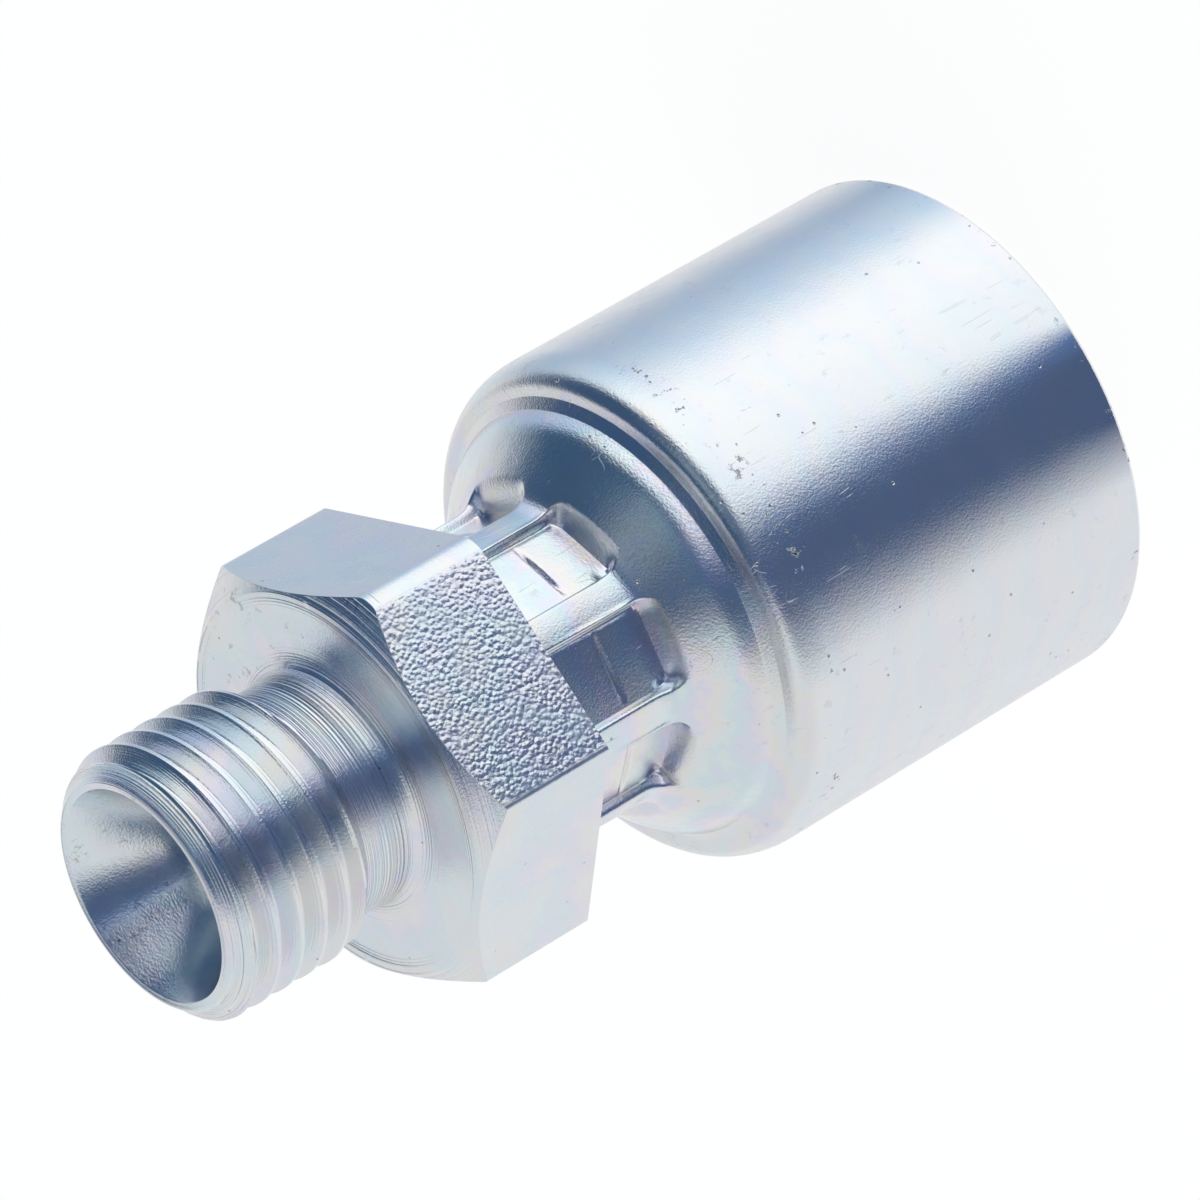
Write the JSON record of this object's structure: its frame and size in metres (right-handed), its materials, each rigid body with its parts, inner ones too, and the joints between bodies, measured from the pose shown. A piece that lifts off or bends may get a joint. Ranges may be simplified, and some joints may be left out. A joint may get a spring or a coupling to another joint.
{
  "type": "hydraulic hose coupling",
  "caption": "Straight crimp coupling for a hydraulic hose: a hexagon stem with a fixed male pipe thread, a staked steel shell and a toothed gripping insert.",
  "frame": {"origin": "centre of the shell's rear rim, on which the coupling stands", "axes": "+Z along the axis to the threaded end; +X through a corner of the hexagon"},
  "size_m": [0.025, 0.025, 0.0492],
  "materials": {
    "stem_plating": "turned steel with bright bluish zinc plating, fine machining rings, one spanner flat left with a pebbled skin",
    "shell_plating": "drawn steel with bright zinc plating and faint iridescent passivation, small scuffs",
    "insert_plating": "rolled steel strip with satin zinc plating"
  },
  "bodies": {
    "root": {"stem": "stem_plating", "shell": "shell_plating", "insert": "insert_plating"}
  },
  "joints": []
}
